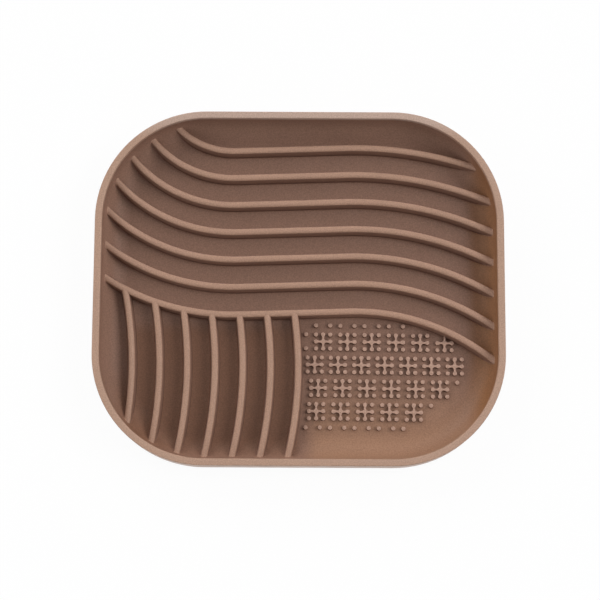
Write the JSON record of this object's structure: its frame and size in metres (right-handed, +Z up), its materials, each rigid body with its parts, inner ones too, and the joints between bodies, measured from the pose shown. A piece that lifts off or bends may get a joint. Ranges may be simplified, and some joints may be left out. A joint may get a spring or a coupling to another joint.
{
  "type": "lick mat",
  "caption": "Shallow rounded silicone tray with curved ridges, cross treads and dots on its floor, standing on suction cups.",
  "frame": {"origin": "middle of the box, on the plane that the suction cups stand on", "axes": "+X along the tray's length, +Y across it towards the first wave ridge, +Z up"},
  "size_m": [0.21, 0.183, 0.022],
  "materials": {
    "silicone": "satin moulded silicone"
  },
  "bodies": {
    "root": {"tray_floor": "silicone", "tray_wall": "silicone", "rim_band": "silicone", "wave_ridge_1": "silicone", "wave_ridge_2": "silicone", "wave_ridge_3": "silicone", "wave_ridge_4": "silicone", "wave_ridge_5": "silicone", "wave_ridge_6": "silicone", "wave_ridge_7": "silicone", "short_ridge_1": "silicone", "short_ridge_2": "silicone", "short_ridge_3": "silicone", "short_ridge_4": "silicone", "short_ridge_5": "silicone", "short_ridge_6": "silicone", "divider_ridge": "silicone", "cross_treads_row_1": "silicone", "cross_treads_row_2": "silicone", "cross_treads_row_3": "silicone", "cross_treads_row_4": "silicone", "tread_dots": "silicone", "suction_cup_1": "silicone", "suction_cup_2": "silicone", "suction_cup_3": "silicone", "suction_cup_4": "silicone"}
  },
  "joints": []
}
